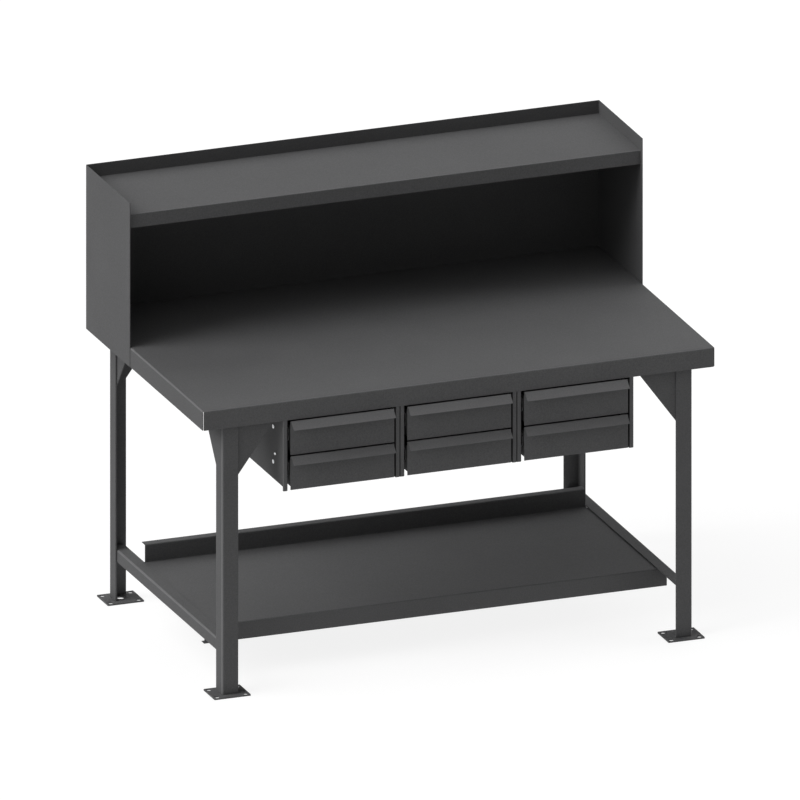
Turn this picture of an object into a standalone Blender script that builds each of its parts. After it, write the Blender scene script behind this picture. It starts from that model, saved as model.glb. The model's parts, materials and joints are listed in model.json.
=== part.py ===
"""Heavy-duty steel workbench with a riser, a lower shelf and three two-drawer cabinets.

Metres, +Z up, +X to the right and +Y to the back. The origin lies on the floor, under the
middle of the bench's outer box. Every sheet-metal piece is a closed solid of its real gauge.
"""
import math

import bmesh
import bpy
from mathutils import Matrix, Vector

# Clearance between pieces that touch, and the facets of each round form
GAP = 0.0003
BEND_STEPS = 4
HOLE_SIDES = 16

# Bench top: a pan folded from one heavy sheet, open at its four corners
TOP_WIDTH = 1.524
TOP_DEPTH = 0.9144
TOP_HEIGHT = 0.8540
TOP_SHEET = 0.0027
TOP_FLANGE = 0.0575
TOP_BEND = 0.0046
TOP_NOTCH = 0.0036

# Stiffener: a hat channel under the top, behind the drawer cabinets
STIFFENER_WIDTH = 0.060
STIFFENER_DEPTH = 0.038
STIFFENER_FLANGE = 0.022
STIFFENER_SHEET = 0.0019
STIFFENER_BEND = 0.004

# Legs: bent angles, set in from the edges of the top
LEG_WIDTH = 0.0484
LEG_SHEET = 0.00476
LEG_BEND = 0.007
LEG_INSET_X = 0.0623
LEG_INSET_Y = 0.0132

# Foot plates: one under each leg, with four anchor holes and one hole inside the angle
FOOT_WIDTH = 0.108
FOOT_DEPTH = 0.0884
FOOT_SHEET = 0.00476
FOOT_CORNER = 0.0015
FOOT_HOLE = 0.0167
FOOT_HOLE_EDGE_X = 0.0122
FOOT_HOLE_EDGE_Y = 0.0112
FOOT_CENTRE_HOLE = 0.0222

# Gussets: one bent plate in each leg's corner, with two sloped wings under the top
GUSSET_SHEET = 0.0032
GUSSET_DROP = 0.2080
GUSSET_SLOPE = 0.728
GUSSET_CLEARANCE = 0.0074

# Side stretchers: angles between the front and the rear leg
STRETCHER_TOP = 0.1549
STRETCHER_WIDTH = 0.036
STRETCHER_DROP = 0.0355
STRETCHER_SHEET = 0.0032
STRETCHER_BEND = 0.005

# Lower shelf: a tray hung under the stretchers' flanges, with a stop along its back
SHELF_SHEET = 0.0019
SHELF_BEND = 0.0038
SHELF_FRONT_SETBACK = 0.1693
SHELF_BACK_SETBACK = 0.1640
SHELF_FLANGE = 0.0531
SHELF_LIP = 0.024
SHELF_STOP = 0.053
SHELF_STOP_LIP = 0.0265
SHELF_SIDE_CLEARANCE = 0.0034
SHELF_STOP_CLEARANCE = 0.0033

# Riser: two sides and a back lapped over the top's flanges, with a shelf between them
RISER_SHEET = 0.0012
RISER_DEPTH = 0.3441
RISER_RISE = 0.4271
RISER_HEM = 0.012
RISER_SHELF_DROP = 0.0386
RISER_SHELF_FLANGE = 0.0405
RISER_SHELF_BEND = 0.0022

# Drawer cabinets: three housings side by side, hung from the top between the legs
CABINETS = ("left", "middle", "right")
LEG_TO_CABINET = 0.1781
CABINET_SHEET = 0.0015
CABINET_BEND = 0.003
CABINET_FLANGE = 0.0135
CABINET_LIP = 0.0127
CABINET_DEPTH = 0.508
CABINET_FLANGE_DROP = 0.0037
CABINET_SIDE_RAISE = 0.0130
CABINET_NOTCH = 0.0045
CABINET_RELIEF = 0.0022

# Drawers: a flat front with a sloped pull, an open body behind it, two in each cabinet
DRAWERS = ("upper", "lower")
FRONT_HEIGHT = 0.0990
FRONT_GAP = 0.0044
FRONT_TOP_GAP = 0.0033
FRONT_SIDE_GAP = 0.0057
FRONT_PROUD = 0.0062
FRONT_SHEET = 0.0015
PULL_REACH = 0.021
PULL_DROP = 0.0205
PULL_TRIM = 0.0022
BODY_SHEET = 0.0012
BODY_HEIGHT = 0.075
BODY_RAISE = 0.0075
BODY_SIDE_SPACE = 0.0215
BODY_BACK_CLEARANCE = 0.032

# Slides: a moving channel nested in a fixed channel on each side of each drawer
RAIL_SHEET = 0.0015
RAIL_BEND = 0.0025
RAIL_HEIGHT = 0.040
RAIL_RISE = 0.0555
RAIL_SETBACK = 0.0145
RAIL_BACK_CLEARANCE = 0.006
RAIL_PLAY = 0.0004
RAIL_BODY_CLEARANCE = 0.0025
RAIL_FLANGE_CLEARANCE = 0.0013

# Finishes as (linear colour, roughness, metallic)
GREY_COAT = ((0.115, 0.115, 0.117), 0.55, 0.0)
ZINC_PLATE = ((0.62, 0.63, 0.64), 0.35, 1.0)

# Planes that several pieces share
LEG_X = TOP_WIDTH / 2 - LEG_INSET_X
LEG_Y = TOP_DEPTH / 2 - LEG_INSET_Y
RISER_REACH = TOP_DEPTH / 2 + GAP + RISER_SHEET
FOOT_REACH = LEG_Y - LEG_WIDTH / 2 + FOOT_DEPTH / 2
CABINET_REACH = TOP_DEPTH / 2 - TOP_SHEET - GAP
PULL_TIP_REACH = CABINET_REACH + FRONT_PROUD + PULL_REACH
MIDDLE = (max(PULL_TIP_REACH, FOOT_REACH) - max(RISER_REACH, FOOT_REACH)) / 2
FRONT = MIDDLE - TOP_DEPTH / 2
BACK = MIDDLE + TOP_DEPTH / 2
TOP_UNDERSIDE = TOP_HEIGHT - TOP_SHEET
FLANGE_BOTTOM = TOP_HEIGHT - TOP_FLANGE
CABINET_FRONT = MIDDLE - CABINET_REACH
CABINET_PITCH = 2 * (LEG_X - LEG_TO_CABINET) / len(CABINETS)
CABINET_HALF = (CABINET_PITCH - GAP) / 2
CABINET_INSIDE = CABINET_HALF - CABINET_SHEET
FRONT_PITCH = FRONT_HEIGHT + FRONT_GAP
FRONT_BASES = {
    name: FLANGE_BOTTOM - FRONT_TOP_GAP - FRONT_HEIGHT - level * FRONT_PITCH
    for level, name in enumerate(DRAWERS)
}
BODY_HALF = CABINET_INSIDE - BODY_SIDE_SPACE


def clear_scene():
    """Remove whatever the scene already holds."""
    for thing in list(bpy.data.objects):
        bpy.data.objects.remove(thing)


def make_material(name, finish):
    """A Principled material for one family of pieces."""
    colour, roughness, metallic = finish
    material = bpy.data.materials.new(name)
    material.use_nodes = True
    shader = material.node_tree.nodes["Principled BSDF"]
    shader.inputs["Base Color"].default_value = (*colour, 1.0)
    shader.inputs["Roughness"].default_value = roughness
    shader.inputs["Metallic"].default_value = metallic
    return material


def add_piece(name, mesh, place, turn=0.0, parent=None):
    """One named piece in the scene, turned about the vertical and set at its place."""
    piece = bpy.data.objects.new(name, mesh)
    bpy.context.scene.collection.objects.link(piece)
    piece.location = place
    piece.rotation_euler = (0.0, 0.0, turn)
    piece.parent = parent
    return piece


def finish_mesh(form, name, material):
    """Turn a bmesh into a mesh that carries its material."""
    mesh = bpy.data.meshes.new(name)
    form.to_mesh(mesh)
    form.free()
    mesh.materials.append(material)
    return mesh


def rectangle(low_a, high_a, low_b, high_b):
    """The four corners of a rectangle."""
    return [(low_a, low_b), (high_a, low_b), (high_a, high_b), (low_a, high_b)]


def rounded_rectangle(width, depth, radius):
    """A centred rectangle with round corners."""
    points = []
    for quarter in range(4):
        start = quarter * math.pi / 2
        side_x = 1 if quarter in (0, 3) else -1
        side_y = 1 if quarter in (0, 1) else -1
        centre = Vector((side_x * (width / 2 - radius), side_y * (depth / 2 - radius)))
        for step in range(BEND_STEPS + 1):
            angle = start + step * math.pi / 2 / BEND_STEPS
            points.append(centre + radius * Vector((math.cos(angle), math.sin(angle))))
    return points


def bent_sheet(path, sheet, bend):
    """Closed outline of a folded sheet that lies to the left of a path of its sharp corners.

    bend is the outer radius of every fold, whichever way it turns.
    """
    corners = [Vector(point) for point in path]
    first = (corners[1] - corners[0]).normalized()
    last = (corners[-1] - corners[-2]).normalized()
    near = [corners[0]]
    far = [corners[0] + sheet * left_of(first)]
    for before, corner, after in zip(corners, corners[1:], corners[2:]):
        into = (corner - before).normalized()
        out = (after - corner).normalized()
        turn = math.atan2(into.cross(out), into.dot(out))
        side = 1 if turn > 0 else -1
        radius = bend if side > 0 else bend - sheet
        centre = corner - into * radius * math.tan(abs(turn) / 2) + side * radius * left_of(into)
        spoke = -side * left_of(into)
        for step in range(BEND_STEPS + 1):
            ray = Matrix.Rotation(turn * step / BEND_STEPS, 2) @ spoke
            near.append(centre + radius * ray)
            far.append(centre + (radius - side * sheet) * ray)
    near.append(corners[-1])
    far.append(corners[-1] + sheet * left_of(last))
    return near + far[::-1]


def left_of(direction):
    """The unit vector to the left of a direction in the plane."""
    return Vector((-direction.y, direction.x))


def prism(outline, axis, low, high):
    """A bmesh that carries an outline along an axis; the outline's own axes keep X, Y, Z order."""
    order = {"X": (2, 0, 1), "Y": (0, 2, 1), "Z": (0, 1, 2)}[axis]

    def place(a, b, along):
        flat = (a, b, along)
        return Vector([flat[index] for index in order])

    form = bmesh.new()
    cap = form.faces.new([form.verts.new(place(a, b, low)) for a, b in outline])
    grown = bmesh.ops.extrude_face_region(form, geom=[cap])["geom"]
    moved = [item for item in grown if isinstance(item, bmesh.types.BMVert)]
    bmesh.ops.translate(form, verts=moved, vec=place(0.0, 0.0, high - low))
    bmesh.ops.recalc_face_normals(form, faces=form.faces)
    return form


def combine(base, tool, operation):
    """The base mesh joined with the tool, or cut by it, as one closed body."""
    work = add_piece("work", base, (0.0, 0.0, 0.0))
    helper = add_piece("helper", tool, (0.0, 0.0, 0.0))
    step = work.modifiers.new("combine", "BOOLEAN")
    step.solver = "EXACT"
    step.operation = operation
    step.object = helper
    graph = bpy.context.evaluated_depsgraph_get()
    result = bpy.data.meshes.new_from_object(work.evaluated_get(graph))
    bpy.data.objects.remove(work)
    bpy.data.objects.remove(helper)
    return result


def cut_below(form, point, slope):
    """Cut away what lies under a plane through a point, with the given upward normal, and close it."""
    bmesh.ops.bisect_plane(
        form,
        geom=form.verts[:] + form.edges[:] + form.faces[:],
        dist=1e-7,
        plane_co=point,
        plane_no=slope,
        clear_inner=True,
    )
    rim = [edge for edge in form.edges if edge.is_boundary]
    bmesh.ops.holes_fill(form, edges=rim)
    bmesh.ops.recalc_face_normals(form, faces=form.faces)


def leg_corners():
    """Name, outer corner and quarter turn of each leg, anticlockwise from the front left."""
    signs = {
        "front_left": (-1, -1),
        "front_right": (1, -1),
        "rear_right": (1, 1),
        "rear_left": (-1, 1),
    }
    for quarter, (name, (side_x, side_y)) in enumerate(signs.items()):
        yield name, side_x * LEG_X, MIDDLE + side_y * LEG_Y, quarter * math.pi / 2


def build_bench_top(coat):
    """Two channels folded from one sheet, crossing in the flat of the top."""
    half = TOP_WIDTH / 2
    low = FLANGE_BOTTOM
    high = TOP_HEIGHT
    lengthwise = bent_sheet([(BACK, low), (BACK, high), (FRONT, high), (FRONT, low)], TOP_SHEET, TOP_BEND)
    crosswise = bent_sheet([(half, low), (half, high), (-half, high), (-half, low)], TOP_SHEET, TOP_BEND)
    along = prism(lengthwise, "X", -half + TOP_NOTCH, half - TOP_NOTCH)
    across = prism(crosswise, "Y", FRONT + TOP_NOTCH, BACK - TOP_NOTCH)
    pan = combine(finish_mesh(along, "along", coat), finish_mesh(across, "across", coat), "UNION")
    add_piece("bench_top", pan, (0.0, 0.0, 0.0))


def build_stiffener(coat):
    """A hat channel midway between the cabinets and the rear flange."""
    half = STIFFENER_WIDTH / 2
    wide = half + STIFFENER_FLANGE
    deep = STIFFENER_DEPTH - STIFFENER_SHEET
    path = [(wide, 0), (half, 0), (half, -deep), (-half, -deep), (-half, 0), (-wide, 0)]
    reach = LEG_X - LEG_WIDTH
    form = prism(bent_sheet(path, STIFFENER_SHEET, STIFFENER_BEND), "X", -reach, reach)
    middle = (CABINET_FRONT + CABINET_DEPTH + BACK - TOP_SHEET) / 2
    mesh = finish_mesh(form, "stiffener", coat)
    add_piece("top_stiffener", mesh, (0.0, middle, TOP_UNDERSIDE - GAP))


def build_legs(coat):
    """Four bent angles between the foot plates and the top, corners outwards."""
    path = [(0, LEG_WIDTH), (0, 0), (LEG_WIDTH, 0)]
    base = FOOT_SHEET + GAP
    form = prism(bent_sheet(path, LEG_SHEET, LEG_BEND), "Z", 0.0, TOP_UNDERSIDE - GAP - base)
    mesh = finish_mesh(form, "leg", coat)
    for name, x, y, turn in leg_corners():
        add_piece("leg_" + name, mesh, (x, y, base), turn)


def build_foot_plates(coat):
    """Four plates centred under the legs, each with its anchor holes."""
    plate = prism(rounded_rectangle(FOOT_WIDTH, FOOT_DEPTH, FOOT_CORNER), "Z", 0.0, FOOT_SHEET)
    drills = bmesh.new()
    across = FOOT_WIDTH / 2 - FOOT_HOLE_EDGE_X
    deep = FOOT_DEPTH / 2 - FOOT_HOLE_EDGE_Y
    holes = [(x, y, FOOT_HOLE) for x in (-across, across) for y in (-deep, deep)]
    for x, y, bore in holes + [(0.0, 0.0, FOOT_CENTRE_HOLE)]:
        bmesh.ops.create_cone(
            drills,
            cap_ends=True,
            segments=HOLE_SIDES,
            radius1=bore / 2,
            radius2=bore / 2,
            depth=3 * FOOT_SHEET,
            matrix=Matrix.Translation((x, y, FOOT_SHEET / 2)),
        )
    blank = finish_mesh(plate, "foot_plate", coat)
    mesh = combine(blank, finish_mesh(drills, "drills", coat), "DIFFERENCE")
    inward = LEG_WIDTH / 2
    for name, x, y, turn in leg_corners():
        centre = Vector((x, y, 0.0)) + Matrix.Rotation(turn, 3, "Z") @ Vector((inward, inward, 0.0))
        add_piece("foot_plate_" + name, mesh, centre)


def build_gussets(coat):
    """Four bent plates inside the legs' corners, their lower edges sloping up to the wing tips."""
    seat = LEG_SHEET + GAP
    reach = LEG_TO_CABINET - GUSSET_CLEARANCE
    path = [(seat, reach), (seat, seat), (reach, seat)]
    crown = TOP_UNDERSIDE - GAP
    toe = TOP_HEIGHT - GUSSET_DROP
    form = prism(bent_sheet(path, GUSSET_SHEET, LEG_BEND), "Z", toe - LEG_WIDTH / GUSSET_SLOPE, crown)
    cut_below(form, (LEG_WIDTH, 0.0, toe), (-1.0, 0.0, GUSSET_SLOPE))
    cut_below(form, (0.0, LEG_WIDTH, toe), (0.0, -1.0, GUSSET_SLOPE))
    mesh = finish_mesh(form, "gusset", coat)
    for name, x, y, turn in leg_corners():
        add_piece("gusset_" + name, mesh, (x, y, 0.0), turn)


def build_stretchers(coat):
    """An angle inside each pair of side legs, its flat flange on top and turned inwards."""
    path = [(STRETCHER_WIDTH, 0), (0, 0), (0, -STRETCHER_DROP)]
    half = LEG_Y - LEG_BEND - GAP
    form = prism(bent_sheet(path, STRETCHER_SHEET, STRETCHER_BEND), "Y", -half, half)
    mesh = finish_mesh(form, "stretcher", coat)
    outer = LEG_X - LEG_SHEET - GAP
    add_piece("stretcher_left", mesh, (-outer, MIDDLE, STRETCHER_TOP))
    add_piece("stretcher_right", mesh, (outer, MIDDLE, STRETCHER_TOP), math.pi)


def build_lower_shelf(coat):
    """A tray under the stretchers' flanges, with a narrower stop folded up along its back."""
    level = STRETCHER_TOP - STRETCHER_SHEET - GAP
    front = MIDDLE - LEG_Y + SHELF_FRONT_SETBACK
    back = MIDDLE + LEG_Y - SHELF_BACK_SETBACK
    inner = LEG_X - LEG_SHEET - GAP
    wide = inner - STRETCHER_SHEET - SHELF_SIDE_CLEARANCE
    narrow = inner - STRETCHER_WIDTH - SHELF_STOP_CLEARANCE
    low = level - SHELF_FLANGE
    high = level + SHELF_STOP
    tray_path = [(back - SHELF_BEND, level), (front, level), (front, low), (front + SHELF_LIP, low)]
    stop_path = [
        (back + SHELF_STOP_LIP, high),
        (back, high),
        (back, level),
        (back - SHELF_STOP_LIP, level),
    ]
    tray = prism(bent_sheet(tray_path, SHELF_SHEET, SHELF_BEND), "X", -wide, wide)
    stop = prism(bent_sheet(stop_path, SHELF_SHEET, SHELF_BEND), "X", -narrow, narrow)
    mesh = combine(finish_mesh(tray, "tray", coat), finish_mesh(stop, "stop", coat), "UNION")
    add_piece("lower_shelf", mesh, (0.0, 0.0, 0.0))


def build_riser(coat):
    """Side panels with hemmed front edges, a back panel between them, and a shelf behind the hems."""
    inside = TOP_WIDTH / 2 + GAP
    outside = inside + RISER_SHEET
    rear_face = BACK + GAP
    rear = rear_face + RISER_SHEET
    front = rear - RISER_DEPTH
    crest = TOP_HEIGHT + RISER_RISE
    panel = prism(rectangle(-outside, -inside, front, rear), "Z", FLANGE_BOTTOM, crest)
    hem_face = inside - RISER_SHEET
    hem = prism(rectangle(-outside, -hem_face, front, front + RISER_HEM), "Z", TOP_HEIGHT + GAP, crest)
    left = combine(finish_mesh(panel, "riser_panel", coat), finish_mesh(hem, "riser_hem", coat), "UNION")
    right = left.copy()
    right.transform(Matrix.Scale(-1, 4, (1, 0, 0)))
    right.flip_normals()
    add_piece("riser_side_left", left, (0.0, 0.0, 0.0))
    add_piece("riser_side_right", right, (0.0, 0.0, 0.0))

    within = inside - GAP
    back = prism(rectangle(-within, within, rear_face, rear), "Z", FLANGE_BOTTOM, crest)
    add_piece("riser_back", finish_mesh(back, "riser_back", coat), (0.0, 0.0, 0.0))

    level = crest - RISER_SHELF_DROP
    edge = front + RISER_HEM + GAP
    path = [(rear_face - GAP, level), (edge, level), (edge, level - RISER_SHELF_FLANGE)]
    shelf = prism(bent_sheet(path, RISER_SHEET, RISER_SHELF_BEND), "X", -within, within)
    add_piece("riser_shelf", finish_mesh(shelf, "riser_shelf", coat), (0.0, 0.0, 0.0))


def cabinet_centres():
    """Name and middle of each drawer cabinet, from left to right."""
    for index, name in enumerate(CABINETS):
        yield name, (index - (len(CABINETS) - 1) / 2) * CABINET_PITCH


def build_cabinets(coat):
    """Three housings folded round their sides and back, with lipped front flanges that reach lower.

    The sides and the back are cut shorter below, and the flanges are cut clear of the top's fold.
    """
    half = CABINET_HALF
    lip = half - CABINET_FLANGE
    right = [(lip, CABINET_LIP), (lip, 0), (half, 0), (half, CABINET_DEPTH)]
    left = [(-x, y) for x, y in reversed(right)]
    base = FRONT_BASES[DRAWERS[-1]] - CABINET_FLANGE_DROP
    crown = TOP_UNDERSIDE - GAP - base
    shell = prism(bent_sheet(right + left, CABINET_SHEET, CABINET_BEND), "Z", 0.0, crown)
    spare = 2 * CABINET_SHEET
    side = half - CABINET_FLANGE / 2
    mesh = finish_mesh(shell, "cabinet", coat)
    rear = CABINET_DEPTH + spare
    under = [
        rectangle(side, half + spare, CABINET_NOTCH, rear),
        rectangle(-half - spare, -side, CABINET_NOTCH, rear),
        rectangle(-half, half, CABINET_DEPTH - spare, rear),
    ]
    cuts = [prism(outline, "Z", -spare, CABINET_SIDE_RAISE) for outline in under]
    fold = rectangle(-half - spare, half + spare, -spare, CABINET_BEND)
    cuts.append(prism(fold, "Z", crown - CABINET_RELIEF, crown + spare))
    for cut in cuts:
        mesh = combine(mesh, finish_mesh(cut, "cut", coat), "DIFFERENCE")
    for name, centre in cabinet_centres():
        add_piece("cabinet_" + name, mesh, (centre, CABINET_FRONT, base))


def drawer_front_mesh(coat):
    """A flat face, and a pull folded forward and down from its top edge."""
    half = CABINET_HALF - CABINET_FLANGE - FRONT_SIDE_GAP
    face = prism(rectangle(-half, half, 0.0, FRONT_SHEET), "Z", 0.0, FRONT_HEIGHT)
    slope = Vector((PULL_REACH, PULL_DROP))
    under = FRONT_SHEET * Vector((slope.y, -slope.x)) / slope.length
    nose = Vector((-PULL_REACH, FRONT_HEIGHT - PULL_DROP))
    root = FRONT_HEIGHT - FRONT_SHEET * slope.length / slope.x
    pull_outline = [
        (FRONT_SHEET, FRONT_HEIGHT),
        (0.0, FRONT_HEIGHT),
        nose,
        nose + under,
        (0.0, root),
        (FRONT_SHEET, root),
    ]
    reach = half - PULL_TRIM
    pull = prism(pull_outline, "X", -reach, reach)
    return combine(finish_mesh(face, "drawer_face", coat), finish_mesh(pull, "pull", coat), "UNION")


def drawer_body_mesh(coat):
    """An open tray, its front wall behind the drawer front and its floor closed."""
    depth = CABINET_DEPTH - CABINET_SHEET - BODY_BACK_CLEARANCE + FRONT_PROUD - FRONT_SHEET - GAP
    block = prism(rectangle(-BODY_HALF, BODY_HALF, 0.0, depth), "Z", 0.0, BODY_HEIGHT)
    hollow = prism(
        rectangle(-BODY_HALF + BODY_SHEET, BODY_HALF - BODY_SHEET, BODY_SHEET, depth - BODY_SHEET),
        "Z",
        BODY_SHEET,
        2 * BODY_HEIGHT,
    )
    body = finish_mesh(block, "drawer_body", coat)
    return combine(body, finish_mesh(hollow, "hollow", coat), "DIFFERENCE")


def rail_meshes(plate):
    """The fixed channel, open inwards, and the moving channel nested in it, open outwards.

    Both are drawn for a drawer's left side. Each is centred on its length and its height.
    """
    half = RAIL_HEIGHT / 2
    deep = CABINET_INSIDE - GAP - BODY_HALF - RAIL_BODY_CLEARANCE
    fixed_path = [(deep, half), (0, half), (0, -half), (deep, -half)]
    nested = half - RAIL_SHEET - RAIL_PLAY
    reach = CABINET_HALF - CABINET_FLANGE - RAIL_FLANGE_CLEARANCE - BODY_HALF - GAP
    moving_path = [(-reach, -nested), (0, -nested), (0, nested), (-reach, nested)]
    run = rail_length() / 2
    fixed = prism(bent_sheet(fixed_path, RAIL_SHEET, RAIL_BEND), "Y", -run, run)
    moving = prism(bent_sheet(moving_path, RAIL_SHEET, RAIL_BEND), "Y", -run, run)
    return finish_mesh(fixed, "fixed_rail", plate), finish_mesh(moving, "moving_rail", plate)


def rail_length():
    """Length of a slide rail between the cabinet's front flange and the drawer body's back."""
    return CABINET_DEPTH - CABINET_SHEET - BODY_BACK_CLEARANCE - RAIL_SETBACK - RAIL_BACK_CLEARANCE


def build_drawers(coat, plate):
    """Six drawers on their slides; each moves with an empty that lies on its slide's axis."""
    front_mesh = drawer_front_mesh(coat)
    body_mesh = drawer_body_mesh(coat)
    fixed_mesh, moving_mesh = rail_meshes(plate)
    rail_middle = RAIL_SETBACK + rail_length() / 2
    fixed_side = CABINET_INSIDE - GAP
    moving_side = BODY_HALF + GAP
    body_front = -FRONT_PROUD + FRONT_SHEET + GAP
    sides = (("left", -1, 0.0), ("right", 1, math.pi))
    for cabinet, centre in cabinet_centres():
        for drawer, base in FRONT_BASES.items():
            name = cabinet + "_" + drawer
            slide = add_piece("slide_" + name, None, (centre, CABINET_FRONT, base + RAIL_RISE))
            front_place = (0.0, -FRONT_PROUD, -RAIL_RISE)
            body_place = (0.0, body_front, BODY_RAISE - RAIL_RISE)
            add_piece("drawer_front_" + name, front_mesh, front_place, 0.0, slide)
            add_piece("drawer_body_" + name, body_mesh, body_place, 0.0, slide)
            for side, sign, turn in sides:
                rail = name + "_" + side
                moving_place = (sign * moving_side, rail_middle, 0.0)
                add_piece("moving_rail_" + rail, moving_mesh, moving_place, turn, slide)
                fixed_place = (centre + sign * fixed_side, CABINET_FRONT + rail_middle, base + RAIL_RISE)
                add_piece("fixed_rail_" + rail, fixed_mesh, fixed_place, turn)


clear_scene()
build_bench_top(make_material("bench_top_coat", GREY_COAT))
build_stiffener(make_material("stiffener_coat", GREY_COAT))
build_legs(make_material("leg_coat", GREY_COAT))
build_foot_plates(make_material("foot_plate_coat", GREY_COAT))
build_gussets(make_material("gusset_coat", GREY_COAT))
build_stretchers(make_material("stretcher_coat", GREY_COAT))
build_lower_shelf(make_material("lower_shelf_coat", GREY_COAT))
build_riser(make_material("riser_coat", GREY_COAT))
build_cabinets(make_material("cabinet_coat", GREY_COAT))
build_drawers(make_material("drawer_coat", GREY_COAT), make_material("slide_zinc", ZINC_PLATE))
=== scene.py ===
"""Looks of a heavy-duty steel workbench with a riser, a lower shelf and six drawers."""

import json
import math

import bmesh
import bpy
from mathutils import Matrix, Vector

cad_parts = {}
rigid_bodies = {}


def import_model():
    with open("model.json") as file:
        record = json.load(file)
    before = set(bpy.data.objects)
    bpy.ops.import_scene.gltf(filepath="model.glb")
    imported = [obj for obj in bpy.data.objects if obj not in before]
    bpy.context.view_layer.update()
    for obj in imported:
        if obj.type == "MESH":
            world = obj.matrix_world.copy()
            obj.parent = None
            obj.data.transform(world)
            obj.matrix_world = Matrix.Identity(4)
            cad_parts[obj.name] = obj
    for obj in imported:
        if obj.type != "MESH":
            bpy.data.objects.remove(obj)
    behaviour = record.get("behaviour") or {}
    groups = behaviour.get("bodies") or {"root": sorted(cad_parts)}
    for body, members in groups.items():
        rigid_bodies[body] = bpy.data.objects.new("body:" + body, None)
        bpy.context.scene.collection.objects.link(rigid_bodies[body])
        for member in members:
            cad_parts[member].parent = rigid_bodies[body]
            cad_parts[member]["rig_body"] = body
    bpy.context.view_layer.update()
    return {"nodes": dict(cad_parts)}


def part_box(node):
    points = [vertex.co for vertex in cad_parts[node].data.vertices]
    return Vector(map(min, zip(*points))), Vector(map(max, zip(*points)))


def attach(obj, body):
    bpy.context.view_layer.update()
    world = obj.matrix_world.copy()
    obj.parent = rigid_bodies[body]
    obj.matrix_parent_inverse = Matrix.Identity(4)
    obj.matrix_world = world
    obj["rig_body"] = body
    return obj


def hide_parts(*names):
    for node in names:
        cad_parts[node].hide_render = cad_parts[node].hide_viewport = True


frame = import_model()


# The work top is one heavy sheet of steel, its four edges folded down and left open at the corners.
# Like all the sheet work it is degreased, sprayed with dark grey powder and baked, which leaves
# a satin skin with a fine pebbled grain. A pale highlight is painted over the outside of each bend.
class Wire:
    """A socket of a node tree. Arithmetic on wires adds the Math nodes that work it out."""

    def __init__(self, tree, socket=None):
        self.tree = tree
        self.socket = socket

    def node(self, kind, settings=None, sockets=None, output=0):
        """Adds a node: its settings first, then values or wires for its sockets."""
        made = self.tree.nodes.new(kind)
        for name, value in (settings or {}).items():
            setattr(made, name, value)
        for name, value in (sockets or {}).items():
            if isinstance(value, Wire):
                self.tree.links.new(value.socket, made.inputs[name])
            else:
                made.inputs[name].default_value = value
        return Wire(self.tree, made.outputs[output] if made.outputs else None)

    def other(self, output):
        """Another output of the node that this wire leaves."""
        return Wire(self.tree, self.socket.node.outputs[output])

    def math(self, operation, first, second):
        """What a Math node makes of two values or wires."""
        return self.node("ShaderNodeMath", {"operation": operation}, {0: first, 1: second})

    def noise(self, place, scale, detail):
        """Soft noise between about 0 and 1, with scale patches to the metre."""
        return self.node("ShaderNodeTexNoise", None, {"Vector": place, "Scale": scale, "Detail": detail})

    def tint(self, share, first, second):
        """A colour that goes from the first to the second as share goes from 0 to 1."""
        return self.node("ShaderNodeMix", {"data_type": "RGBA"}, {0: share, 6: first, 7: second}, 2)

    def __add__(self, other):
        return self.math("ADD", self, other)

    def __radd__(self, other):
        return self.math("ADD", other, self)

    def __sub__(self, other):
        return self.math("SUBTRACT", self, other)

    def __rsub__(self, other):
        return self.math("SUBTRACT", other, self)

    def __mul__(self, other):
        return self.math("MULTIPLY", self, other)

    def __rmul__(self, other):
        return self.math("MULTIPLY", other, self)


def new_finish(name):
    """An empty material and a wire to build its nodes from."""
    finish = bpy.data.materials.new(name)
    finish.use_nodes = True
    finish.node_tree.nodes.clear()
    return finish, Wire(finish.node_tree)


COAT_DARK = (0.098, 0.098, 0.100, 1.0)
COAT_PALE = (0.132, 0.132, 0.134, 1.0)
COAT_HIGHLIGHT = (0.205, 0.205, 0.208, 1.0)
COAT_SHADE = (0.010, 0.010, 0.010, 1.0)


def powder_coat():
    """Dark grey satin powder coat: pebbles about a millimetre wide, speckle, faint clouds, with painted
    highlights and painted shade read from the mesh.
    """
    finish, wire = new_finish("grey_powder_coat")
    place = wire.node("ShaderNodeTexCoord", output="Object")
    pebble = wire.noise(place, 900.0, 1.5)
    speckle = wire.noise(place, 320.0, 1.0)
    cloud = wire.noise(place, 6.0, 3.0)
    tone = 0.5 + 1.0 * (pebble - 0.5) + 1.6 * (speckle - 0.5) + 0.6 * (cloud - 0.5)
    body = wire.tint(tone, COAT_DARK, COAT_PALE)
    # A painted highlight, read from the mesh, on the bends and on faces that look one way.
    highlight = wire.node("ShaderNodeAttribute", {"attribute_name": "painted_highlight"}, None, "Fac")
    highlighted = wire.tint(highlight * (0.8 + 0.4 * speckle), body, COAT_HIGHLIGHT)
    # Painted shade, read from the mesh, in the drawer cabinets' gaps and joins.
    painted_shade = wire.node("ShaderNodeAttribute", {"attribute_name": "painted_shade"}, None, "Fac")
    colour = wire.tint(painted_shade, highlighted, COAT_SHADE)
    skin = wire.node("ShaderNodeBump", None, {"Strength": 0.22, "Distance": 0.0004, "Height": pebble})
    surface = wire.node(
        "ShaderNodeBsdfPrincipled",
        None,
        {
            "Base Color": colour,
            "Roughness": 0.64 + 0.16 * (pebble - 0.5) + 0.10 * (cloud - 0.5),
            "Specular IOR Level": 0.02,
            "Normal": skin,
        },
    )
    wire.node("ShaderNodeOutputMaterial", None, {"Surface": surface})
    return finish


MERGE_DISTANCE = 0.00001
FLAT_ANGLE = 0.01
SMOOTH_ANGLE = math.radians(15.0)
SHARP_ANGLE = math.radians(35.0)
HIGHLIGHT_FROM = 0.5
HIGHLIGHT_FULLY = 0.9


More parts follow.
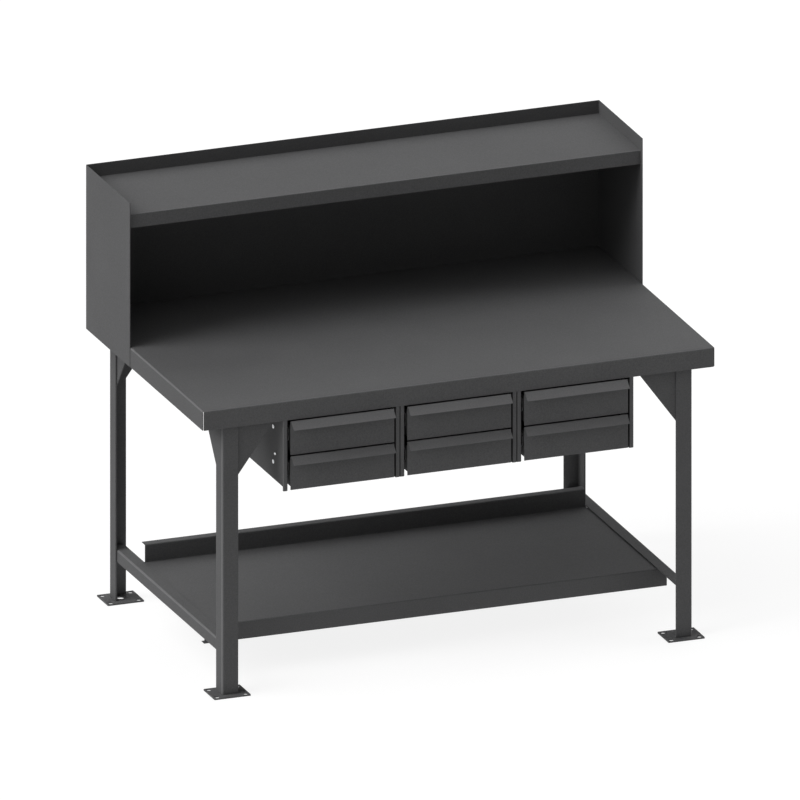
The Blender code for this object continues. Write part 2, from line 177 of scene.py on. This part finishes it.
def formed(node, finish, edge, highlight_amount=0.0):
    """A CAD node's shape as it comes off the press: bends smooth, cut edges eased by the finish.

    The facets of a bend meet at more than the smooth angle, and cut edges at more than the sharp one.
    The last argument, from 0 to 1, is how strong a highlight is painted on the outside of the bends.
    It is painted most on the part of a bend that looks up or to the side.
    """
    shape = bmesh.new()
    shape.from_mesh(frame["nodes"][node].data)
    bmesh.ops.remove_doubles(shape, verts=shape.verts, dist=MERGE_DISTANCE)
    bmesh.ops.dissolve_limit(shape, angle_limit=FLAT_ANGLE, verts=shape.verts, edges=shape.edges)
    # A painted highlight on the outside of the bends, strongest where they look up or to the side.
    highlight = shape.verts.layers.float.new("painted_highlight")
    for line in shape.edges:
        if line.is_manifold and line.is_convex and SMOOTH_ANGLE < line.calc_face_angle() < SHARP_ANGLE:
            outward = (line.link_faces[0].normal + line.link_faces[1].normal).normalized()
            up_or_side = max(outward.z, abs(outward.x))
            brushed = (up_or_side - HIGHLIGHT_FROM) / (HIGHLIGHT_FULLY - HIGHLIGHT_FROM)
            for vert in line.verts:
                vert[highlight] = highlight_amount * min(max(brushed, 0.0), 1.0)
    mesh = bpy.data.meshes.new(node + "_formed")
    shape.to_mesh(mesh)
    shape.free()
    mesh.shade_smooth()
    mesh.materials.append(finish)
    piece = bpy.data.objects.new(node + "_formed", mesh)
    bpy.context.scene.collection.objects.link(piece)
    ease = piece.modifiers.new("eased edges", "BEVEL")
    ease.width = edge
    ease.segments = 2
    ease.limit_method = "ANGLE"
    ease.angle_limit = SHARP_ANGLE
    ease.use_clamp_overlap = False
    even = piece.modifiers.new("even flats", "WEIGHTED_NORMAL")
    even.weight = 80
    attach(piece, frame["nodes"][node]["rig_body"])
    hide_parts(node)
    return piece


grey_coat = powder_coat()
formed("bench_top", grey_coat, edge=0.0006, highlight_amount=0.9)


# A hat channel folded from thinner sheet is stitch-welded under the middle of the top and keeps it
# from sagging. It is coated with the bench, welds and all, and so is the fine run of weld inside each
# open corner of the top.
STEPS_PER_RIPPLE = 5
END_TAPER = 0.6
END_TAPER_POWER = 8.0


def weld_bead():
    """Geometry Nodes that lay a rippled bead of weld along each line of a wire mesh."""
    tree = bpy.data.node_groups.new("weld_bead", "GeometryNodeTree")
    for name, kind in (
        ("Seams", "NodeSocketGeometry"),
        ("Bead radius", "NodeSocketFloat"),
        ("Ripple pitch", "NodeSocketFloat"),
        ("Ripple depth", "NodeSocketFloat"),
        ("Finish", "NodeSocketMaterial"),
    ):
        tree.interface.new_socket(name, in_out="INPUT", socket_type=kind)
    tree.interface.new_socket("Beads", in_out="OUTPUT", socket_type="NodeSocketGeometry")
    wire = Wire(tree)
    given = wire.node("NodeGroupInput")
    pitch = given.other("Ripple pitch")
    seam = wire.node("GeometryNodeMeshToCurve", None, {"Mesh": given.other("Seams")})
    steps = {"Curve": seam, "Length": pitch * (1.0 / STEPS_PER_RIPPLE)}
    seam = wire.node("GeometryNodeResampleCurve", {"mode": "LENGTH"}, steps)
    share = wire.node("GeometryNodeSplineParameter", None, None, "Factor")
    from_middle = 2.0 * share - 1.0
    run_out = 1.0 - END_TAPER * share.math("POWER", from_middle * from_middle, END_TAPER_POWER)
    wave = share.math("DIVIDE", share.other("Length") * math.tau, pitch)
    ripple = 1.0 + given.other("Ripple depth") * share.math("COSINE", wave, 0.0)
    size = given.other("Bead radius") * run_out * ripple
    ring = wire.node("GeometryNodeCurvePrimitiveCircle", None, {"Resolution": 8, "Radius": 1.0})
    sweep = {"Curve": seam, "Profile Curve": ring, "Scale": size, "Fill Caps": True}
    bead = wire.node("GeometryNodeCurveToMesh", None, sweep)
    bead = wire.node("GeometryNodeSetShadeSmooth", None, {"Geometry": bead})
    bead = wire.node("GeometryNodeRealizeInstances", None, {"Geometry": bead})
    bead = wire.node(
        "GeometryNodeSetMaterial", None, {"Geometry": bead, "Material": given.other("Finish")}
    )
    wire.node("NodeGroupOutput", None, {"Beads": bead})
    return tree


def grown(name, seed_mesh, tree, inputs):
    """Runs a Geometry Nodes tree on a mesh and leaves the plain mesh that comes of it."""
    piece = bpy.data.objects.new(name, seed_mesh)
    bpy.context.scene.collection.objects.link(piece)
    grow = piece.modifiers.new(tree.name, "NODES")
    grow.node_group = tree
    for socket in tree.interface.items_tree:
        if socket.in_out == "INPUT" and socket.name in inputs:
            grow[socket.identifier] = inputs[socket.name]
    mesh = bpy.data.meshes.new_from_object(piece.evaluated_get(bpy.context.evaluated_depsgraph_get()))
    piece.modifiers.remove(grow)
    piece.data = mesh
    return piece


def welded(name, seams, radius, pitch=0.004, depth=0.10):
    """Beads of weld on the bench, one along each pair of points, coated over with the rest."""
    lines = bpy.data.meshes.new(name)
    ends = [point for seam in seams for point in seam]
    lines.from_pydata(ends, [(i, i + 1) for i in range(0, len(ends), 2)], [])
    sizes = {"Bead radius": radius, "Ripple pitch": pitch, "Ripple depth": depth, "Finish": grey_coat}
    piece = grown(name, lines, bead_tree, sizes)
    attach(piece, "bench")


formed("top_stiffener", grey_coat, edge=0.0004, highlight_amount=0.5)
bead_tree = weld_bead()
STITCH = 0.040
STITCH_PITCH = 0.2
STITCHES_EACH_WAY = 3
STITCH_SEAT = 0.0005
stiffener_low, stiffener_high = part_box("top_stiffener")
stitches = []
for count in range(-STITCHES_EACH_WAY, STITCHES_EACH_WAY + 1):
    start = count * STITCH_PITCH - STITCH / 2
    z = stiffener_high.z - STITCH_SEAT
    for y in (stiffener_low.y, stiffener_high.y):
        stitches.append(((start, y, z), (start + STITCH, y, z)))
welded("stiffener_welds", stitches, radius=0.0021)
CORNER_NOTCH = 0.0036
TOP_SHEET = 0.0027
CORNER_SEAM_FOOT = 0.0008
CORNER_SEAM_HEAD = 0.0045
top_low, top_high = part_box("bench_top")
corner_seams = []
for x in (top_low.x + CORNER_NOTCH, top_high.x - CORNER_NOTCH):
    for y in (top_low.y + TOP_SHEET, top_high.y - TOP_SHEET):
        corner_seams.append(((x, y, top_low.z + CORNER_SEAM_FOOT), (x, y, top_high.z - CORNER_SEAM_HEAD)))
welded("corner_seams", corner_seams, radius=0.00055, pitch=0.010, depth=0.0)


# Four legs of plate bent to a right angle, with an easy outside corner, carry the top.
# Each stands in a flat plate with four holes for anchors and a larger one under the leg,
# and is welded to it along the inside, where the bead doesn't show.
CORNERS = {
    "front_left": (-1, -1),
    "front_right": (1, -1),
    "rear_right": (1, 1),
    "rear_left": (-1, 1),
}
LEG_PLATE = 0.00476
FOOT_WELD_TRIM = 0.003
foot_seams = []
for corner, (side, end) in CORNERS.items():
    formed("leg_" + corner, grey_coat, edge=0.0008, highlight_amount=1.0)
    formed("foot_plate_" + corner, grey_coat, edge=0.0007)
    low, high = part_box("leg_" + corner)
    outer_x, inner_x = (low.x, high.x) if side < 0 else (high.x, low.x)
    outer_y, inner_y = (low.y, high.y) if end < 0 else (high.y, low.y)
    x = outer_x - side * LEG_PLATE
    y = outer_y - end * LEG_PLATE
    foot_seams.append(((x, inner_y + end * FOOT_WELD_TRIM, low.z), (x, y, low.z)))
    foot_seams.append(((x, y, low.z), (inner_x + side * FOOT_WELD_TRIM, y, low.z)))
welded("foot_welds", foot_seams, radius=0.0024)


# Bent gusset plates inside the corners brace the legs under the top.
# They are cut from plate on a slope, which leaves room for knees.
for corner in CORNERS:
    formed("gusset_" + corner, grey_coat, edge=0.0006, highlight_amount=0.6)


# An angle runs inside each pair of side legs and is welded to them at its ends.
# The lower shelf hangs between the two: a tray with a folded front edge and a stop turned up
# along its back, tacked to the angles at the stop's ends.
SIDES = (("left", -1), ("right", 1))
END_WELD_INSET = 0.0014
END_WELD_PROUD = 0.0012
END_WELD_TRIM = 0.003
BELOW_BEND = 0.007
BESIDE_BEND = 0.008
STOP_LIP = 0.0265
TACK_DROP = 0.0042
TACK_REACH = (-0.00464, 0.00056)
TACK_DEPTH = (-0.0002, 0.0043)
shelf_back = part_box("lower_shelf")[1].y - STOP_LIP
stretcher_seams = []
shelf_tacks = []
for name, side in SIDES:
    formed("stretcher_" + name, grey_coat, edge=0.0006, highlight_amount=0.9)
    low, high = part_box("stretcher_" + name)
    outer_x, inner_x = (low.x, high.x) if side < 0 else (high.x, low.x)
    x = outer_x - side * END_WELD_INSET
    z = high.z - END_WELD_INSET
    for y in (low.y - END_WELD_PROUD, high.y + END_WELD_PROUD):
        stretcher_seams.append(((x, y, low.z + END_WELD_TRIM), (x, y, high.z - BELOW_BEND)))
        from_bend = (outer_x - side * BESIDE_BEND, y, z)
        stretcher_seams.append((from_bend, (inner_x + side * END_WELD_TRIM, y, z)))
    tack = [
        (inner_x + side * reach, shelf_back + depth, high.z - TACK_DROP)
        for reach, depth in zip(TACK_REACH, TACK_DEPTH)
    ]
    shelf_tacks.append(tack)
formed("lower_shelf", grey_coat, edge=0.0004)
welded("stretcher_welds", stretcher_seams, radius=0.0018)
welded("shelf_tacks", shelf_tacks, radius=0.0024, pitch=0.003, depth=0.0)


# The riser is boxed from light sheet: two sides with hemmed front edges, a back, and a shelf
# with its edge folded down, set below the top of the box so that it has a rim.
# The sides and the back are closed by a fine seam down the inside of each corner.
for node in ("riser_side_left", "riser_side_right", "riser_back", "riser_shelf"):
    formed(node, grey_coat, edge=0.0003, highlight_amount=0.8)
RISER_SHEET = 0.0012
SIDE_GAP = 0.0003
RIM_TRIM = 0.0005
riser_low, riser_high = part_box("riser_back")
shelf_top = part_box("riser_shelf")[1].z
riser_seams = []
for side in (-1, 1):
    x = side * (riser_high.x + SIDE_GAP)
    y = riser_low.y
    riser_seams.append(((x, y, top_high.z), (x, y, shelf_top - RISER_SHEET)))
    riser_seams.append(((x, y, shelf_top), (x, y, riser_high.z - RIM_TRIM)))
welded("riser_seams", riser_seams, radius=0.0011, pitch=0.012, depth=0.0)


# Three open-fronted drawer cabinets hang side by side under the front edge of the top.
# Their front edges are folded into lipped flanges that frame the drawers. The flanges' front faces
# carry a little painted highlight, and painted shade darkens their lips and the joins between cabinets.
SAME_WAY = 0.95


def paint_highlight_facing(piece, facing, amount):
    """Paints a highlight on the faces of a piece that look one way."""
    highlight = piece.data.attributes["painted_highlight"].data
    for face in piece.data.polygons:
        if face.normal.dot(facing) > SAME_WAY:
            for vert in face.vertices:
                highlight[vert].value = max(highlight[vert].value, amount)


def paint_shade_in_box(piece, low, high, amount):
    """Paints shade on a piece at its points inside a box."""
    shade_layer = piece.data.attributes.get("painted_shade") or piece.data.attributes.new("painted_shade", "FLOAT", "POINT")
    for vert, spot in zip(piece.data.vertices, shade_layer.data):
        if all(least <= at <= most for least, at, most in zip(low, vert.co, high)):
            spot.value = amount


CABINETS = ("left", "middle", "right")
FORWARDS = Vector((0.0, -1.0, 0.0))
FLANGE = 0.0135
# A painted highlight on the flanges' front faces.
FLANGE_HIGHLIGHT = 0.22
# Painted shade on the flanges' lips and in the joins between cabinets.
LIP_SHADE = 0.9
SEAM_SHADE = 0.8
SEAM_DEPTH = 0.005
SHADE_SETBACK = 0.0006
SHADE_WIDTH = 0.0018
SHADE_SPARE = 0.0003
for cabinet in CABINETS:
    piece = formed("cabinet_" + cabinet, grey_coat, edge=0.0003, highlight_amount=1.0)
    paint_highlight_facing(piece, FORWARDS, FLANGE_HIGHLIGHT)
    low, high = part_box("cabinet_" + cabinet)
    for name, wall, inward in (("left", low.x, 1), ("right", high.x, -1)):
        lip = wall + inward * FLANGE
        near, far = sorted((lip - inward * SHADE_WIDTH, lip + inward * SHADE_SPARE))
        behind = low.y + SHADE_SETBACK
        paint_shade_in_box(piece, (near, behind, low.z), (far, low.y + FLANGE, high.z), LIP_SHADE)
        if cabinet != name:
            near, far = sorted((wall - inward * SHADE_SPARE, wall + inward * SHADE_WIDTH))
            paint_shade_in_box(piece, (near, behind, low.z), (far, low.y + SEAM_DEPTH, high.z), SEAM_SHADE)


# Each drawer runs on a pair of slides rolled from zinc-plated strip: a fixed channel on the cabinet
# and a smaller one on the drawer. The plate is bright, with faint streaks along the rolling.
# The fixed channels are held by screws, whose pan heads show on the outer sides of the row.
def zinc_plate(name, dull, bright):
    """Zinc over rolled strip: a cloudy bloom between a dull and a bright grey, with drawn streaks."""
    finish, wire = new_finish(name)
    place = wire.node("ShaderNodeTexCoord", output="Object")
    along = wire.node("ShaderNodeMapping", None, {"Vector": place, "Scale": (900.0, 12.0, 900.0)})
    streak = wire.noise(along, 1.0, 2.0)
    bloom = wire.noise(place, 60.0, 3.0)
    skin = wire.node("ShaderNodeBump", None, {"Strength": 0.15, "Distance": 0.0002, "Height": streak})
    surface = wire.node(
        "ShaderNodeBsdfPrincipled",
        None,
        {
            "Base Color": wire.tint(bloom, dull, bright),
            "Metallic": 1.0,
            "Roughness": 0.30 + 0.20 * (bloom - 0.5) + 0.15 * (streak - 0.5),
            "Normal": skin,
        },
    )
    wire.node("ShaderNodeOutputMaterial", None, {"Surface": surface})
    return finish


DOME_OUT = 0.8
DOME_DOWN = 0.5
CROSS_ARM = 0.07
CROSS_REACH = 0.27


def domed_head(name, width, height, rings, steps, recess=0.0):
    """A fastener's head standing on Z = 0: a squarish dome, with a cross pressed in to the recess.

    The dome's two powers square it off, and the cross's arms are shares of the head's width.
    """
    shape = bmesh.new()
    crown = shape.verts.new((0.0, 0.0, height - recess))
    inner = None
    for ring in range(1, rings + 1):
        swing = math.pi / 2 * ring / rings
        radius = width / 2 * math.sin(swing) ** DOME_OUT
        level = height * max(math.cos(swing), 0.0) ** DOME_DOWN
        circle = []
        for step in range(steps):
            turn = math.tau * step / steps
            x = radius * math.cos(turn)
            y = radius * math.sin(turn)
            short, long = sorted((abs(x), abs(y)))
            in_cross = short < CROSS_ARM * width and long < CROSS_REACH * width
            circle.append(shape.verts.new((x, y, level - (recess if in_cross else 0.0))))
        for step in range(steps):
            after = (step + 1) % steps
            if inner:
                shape.faces.new((inner[step], circle[step], circle[after], inner[after]))
            else:
                shape.faces.new((crown, circle[step], circle[after]))
        inner = circle
    mesh = bpy.data.meshes.new(name)
    shape.to_mesh(mesh)
    shape.free()
    mesh.shade_smooth()
    return bpy.data.objects.new(name, mesh)


def fastener_setter():
    """Geometry Nodes that set a head on each point, facing along its 'facing', turned by chance."""
    tree = bpy.data.node_groups.new("fastener_setter", "GeometryNodeTree")
    for name, kind in (
        ("Points", "NodeSocketGeometry"),
        ("Head", "NodeSocketObject"),
        ("Seed", "NodeSocketInt"),
        ("Finish", "NodeSocketMaterial"),
    ):
        tree.interface.new_socket(name, in_out="INPUT", socket_type=kind)
    tree.interface.new_socket("Heads", in_out="OUTPUT", socket_type="NodeSocketGeometry")
    wire = Wire(tree)
    given = wire.node("NodeGroupInput")
    facing = wire.node(
        "GeometryNodeInputNamedAttribute", {"data_type": "FLOAT_VECTOR"}, {"Name": "facing"}
    )
    upright = wire.node("FunctionNodeAlignRotationToVector", {"axis": "Z"}, {"Vector": facing})
    head = wire.node("GeometryNodeObjectInfo", None, {"Object": given.other("Head")}, "Geometry")
    heads = wire.node(
        "GeometryNodeInstanceOnPoints",
        None,
        {"Points": given.other("Points"), "Instance": head, "Rotation": upright},
    )
    chance = wire.node(
        "FunctionNodeRandomValue",
        {"data_type": "FLOAT"},
        {2: 0.0, 3: math.tau, "Seed": given.other("Seed")},
        1,
    )
    spin = wire.node("FunctionNodeAxisAngleToRotation", None, {"Axis": (0.0, 0.0, 1.0), "Angle": chance})
    heads = wire.node("GeometryNodeRotateInstances", None, {"Instances": heads, "Rotation": spin})
    heads = wire.node("GeometryNodeRealizeInstances", None, {"Geometry": heads})
    heads = wire.node(
        "GeometryNodeSetMaterial", None, {"Geometry": heads, "Material": given.other("Finish")}
    )
    wire.node("NodeGroupOutput", None, {"Heads": heads})
    return tree


def fastened(name, body, head, places, seed):
    """Zinc-plated heads on one body, each at a point and facing along a direction."""
    dots = bpy.data.meshes.new(name)
    dots.from_pydata([point for point, facing in places], [], [])
    facings = dots.attributes.new("facing", "FLOAT_VECTOR", "POINT")
    for dot, (point, facing) in zip(facings.data, places):
        dot.vector = facing
    piece = grown(name, dots, setter_tree, {"Head": head, "Seed": seed, "Finish": bright_zinc})
    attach(piece, body)


rail_zinc = zinc_plate("rail_zinc", (0.34, 0.345, 0.355, 1.0), (0.50, 0.505, 0.51, 1.0))
bright_zinc = zinc_plate("bright_zinc", (0.62, 0.63, 0.65, 1.0), (0.82, 0.83, 0.83, 1.0))
setter_tree = fastener_setter()
pan_head = domed_head("pan_head", width=0.0125, height=0.0024, rings=18, steps=40, recess=0.0009)
flat_rivet = domed_head("flat_rivet", width=0.0080, height=0.0013, rings=5, steps=20)
stop_rivet = domed_head("stop_rivet", width=0.0085, height=0.0040, rings=8, steps=24)
RAIL_SHEET = 0.0015
FIXINGS_ALONG = (0.063, 0.283, 0.420)
FIXING_RISE = 0.0045
STOP_SETBACK = 0.0606
STOP_RISE = 0.0925
DRAWERS = [(cabinet, level) for cabinet in CABINETS for level in ("upper", "lower")]
outer_screws = []
rail_rivets = []
for cabinet, level in DRAWERS:
    for name, side in SIDES:
        for rail in ("fixed_rail", "moving_rail"):
            formed(f"{rail}_{cabinet}_{level}_{name}", rail_zinc, edge=0.0002)
        low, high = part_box(f"fixed_rail_{cabinet}_{level}_{name}")
        cabinet_low, cabinet_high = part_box("cabinet_" + cabinet)
        web = low.x + RAIL_SHEET if side < 0 else high.x - RAIL_SHEET
        wall = cabinet_low.x if side < 0 else cabinet_high.x
        z = (low.z + high.z) / 2 + FIXING_RISE
        for along in FIXINGS_ALONG:
            rail_rivets.append(((web, low.y + along, z), (-side, 0.0, 0.0)))
            if cabinet == name:
                outer_screws.append(((wall, low.y + along, z), (side, 0.0, 0.0)))
stops = []
for name, side in SIDES:
    cabinet_low, cabinet_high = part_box("cabinet_" + name)
    wall = cabinet_low.x if side < 0 else cabinet_high.x
    place = (wall, cabinet_low.y + STOP_SETBACK, cabinet_low.z + STOP_RISE)
    stops.append((place, (side, 0.0, 0.0)))
fastened("slide_screws", "bench", pan_head, outer_screws, seed=4)
fastened("slide_rivets", "bench", flat_rivet, rail_rivets, seed=7)
fastened("stop_rivets", "bench", stop_rivet, stops, seed=2)
bpy.data.objects.remove(pan_head)
bpy.data.objects.remove(stop_rivet)


# A drawer is a folded steel box behind a flat front, whose top edge slopes out and down
# as a full-width finger pull. Flat rivets hold its two slides, with their heads inside the box.
BODY_SHEET = 0.0012
PULL_SLOPE = Vector((0.0, -0.70, 0.72)).normalized()
# A painted highlight on the pulls' sloped faces, stronger on the upper drawers.
PULL_HIGHLIGHT = {"upper": 0.46, "lower": 0.36}
for cabinet, level in DRAWERS:
    front = formed(f"drawer_front_{cabinet}_{level}", grey_coat, edge=0.0004, highlight_amount=0.4)
    paint_highlight_facing(front, PULL_SLOPE, PULL_HIGHLIGHT[level])
    formed(f"drawer_body_{cabinet}_{level}", grey_coat, edge=0.0003, highlight_amount=0.4)
    body_low, body_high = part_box(f"drawer_body_{cabinet}_{level}")
    places = []
    for name, side in SIDES:
        low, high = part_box(f"moving_rail_{cabinet}_{level}_{name}")
        wall = body_low.x + BODY_SHEET if side < 0 else body_high.x - BODY_SHEET
        z = (low.z + high.z) / 2
        for along in FIXINGS_ALONG:
            places.append(((wall, low.y + along, z), (-side, 0.0, 0.0)))
    fastened(f"drawer_rivets_{cabinet}_{level}", f"drawer_{cabinet}_{level}", flat_rivet, places, seed=3)
bpy.data.objects.remove(flat_rivet)


# The bench stands on a plain white studio floor. The floor shows the bench's soft shadow
# and sends an even light back up under it.
WHITE = (1.0, 1.0, 1.0, 1.0)
BOARD = (0.22, 0.22, 0.22, 1.0)


def looked_at(wire):
    """1 for a ray from the camera, a reflection or glass, and 0 for light that goes about the room."""
    ray = wire.node("ShaderNodeLightPath", None, None, "Is Camera Ray")
    mirrored = ray.math("MAXIMUM", ray.other("Is Glossy Ray"), ray.other("Is Transmission Ray"))
    return ray.math("MAXIMUM", ray, mirrored)


def studio_floor():
    """Lit white board: an even glow towards the bench, and a faint shadow for the eye."""
    finish, wire = new_finish("studio_floor")
    under_glow = wire.node("ShaderNodeEmission", None, {"Color": WHITE, "Strength": 0.70})
    board = wire.node("ShaderNodeBsdfDiffuse", None, {"Color": BOARD})
    face_glow = wire.node("ShaderNodeEmission", None, {"Color": WHITE, "Strength": 0.85})
    shown = wire.node("ShaderNodeAddShader", None, {0: board, 1: face_glow})
    surface = wire.node("ShaderNodeMixShader", None, {0: looked_at(wire), 1: under_glow, 2: shown})
    wire.node("ShaderNodeOutputMaterial", None, {"Surface": surface})
    return finish


FLOOR_REACH = 30.0
ground = bpy.data.meshes.new("floor")
ground.from_pydata(
    [
        (-FLOOR_REACH, -FLOOR_REACH, 0.0),
        (FLOOR_REACH, -FLOOR_REACH, 0.0),
        (FLOOR_REACH, FLOOR_REACH, 0.0),
        (-FLOOR_REACH, FLOOR_REACH, 0.0),
    ],
    [],
    [(0, 1, 2, 3)],
)
ground.materials.append(studio_floor())
floor = bpy.data.objects.new("floor", ground)
bpy.context.scene.collection.objects.link(floor)


# The room is plain white where it is seen or mirrored, and gives no light of its own.
# Broad soft lamps light the bench: the strongest on the left, weaker ones on the right and behind,
# and two that fill the front.
room = bpy.data.worlds.new("white room")
room.use_nodes = True
room.node_tree.nodes.clear()
wire = Wire(room.node_tree)
unlit = wire.node("ShaderNodeBackground", None, {"Color": WHITE, "Strength": 0.0})
seen = wire.node("ShaderNodeBackground", None, {"Color": WHITE, "Strength": 1.0})
shell = wire.node("ShaderNodeMixShader", None, {0: looked_at(wire), 1: unlit, 2: seen})
wire.node("ShaderNodeOutputWorld", None, {"Surface": shell})
bpy.context.scene.world = room
LAMP_SPREAD = math.radians(40.0)


def soft_lamp(name, azimuth, elevation, strength):
    """A broad distant lamp; azimuth is clockwise from the front, seen from above, in degrees."""
    lamp = bpy.data.lights.new(name, "SUN")
    lamp.energy = strength
    lamp.angle = LAMP_SPREAD
    holder = bpy.data.objects.new(name, lamp)
    turn = math.radians(azimuth)
    lift = math.radians(elevation)
    source = Vector((-math.sin(turn) * math.cos(lift), -math.cos(turn) * math.cos(lift), math.sin(lift)))
    holder.rotation_euler = source.to_track_quat("Z", "Y").to_euler()
    bpy.context.scene.collection.objects.link(holder)


soft_lamp("key_left", azimuth=90.0, elevation=35.0, strength=1.54)
soft_lamp("key_left_high", azimuth=90.0, elevation=60.0, strength=0.82)
soft_lamp("fill_right", azimuth=270.0, elevation=22.0, strength=0.88)
soft_lamp("back_right", azimuth=225.0, elevation=35.0, strength=0.56)
soft_lamp("back", azimuth=180.0, elevation=42.0, strength=0.50)
soft_lamp("fill_front_left", azimuth=45.0, elevation=35.0, strength=0.25)
soft_lamp("fill_front", azimuth=340.0, elevation=45.0, strength=0.15)


# The picture is taken square on to no face, from the left and above, without perspective.
# The point on the floor under the middle of the top falls on a known pixel of the photograph.
SWING = math.radians(-20.705)
LIFT = math.radians(19.471)
PIXELS_PER_METRE = 359.25
FRAME_SIDE = 800
FRAME_MIDDLE = (FRAME_SIDE - 1) / 2
TOP_MIDDLE_PIXEL = (400.33, 617.0)
CAMERA_DISTANCE = 6.0
across = Vector((math.cos(SWING), math.sin(SWING), 0.0))
towards = Vector((math.sin(SWING) * math.cos(LIFT), -math.cos(SWING) * math.cos(LIFT), math.sin(LIFT)))
upright = towards.cross(across)
aim = Vector((0.0, (top_low.y + top_high.y) / 2, 0.0))
aim += across * (FRAME_MIDDLE - TOP_MIDDLE_PIXEL[0]) / PIXELS_PER_METRE
aim += upright * (TOP_MIDDLE_PIXEL[1] - FRAME_MIDDLE) / PIXELS_PER_METRE
lens = bpy.data.cameras.new("camera")
lens.type = "ORTHO"
lens.ortho_scale = FRAME_SIDE / PIXELS_PER_METRE
camera = bpy.data.objects.new("camera", lens)
facing = Matrix((across, upright, towards)).transposed().to_4x4()
camera.matrix_world = Matrix.Translation(aim + towards * CAMERA_DISTANCE) @ facing
bpy.context.scene.collection.objects.link(camera)
bpy.context.scene.camera = camera
bpy.context.scene.view_settings.view_transform = "Standard"
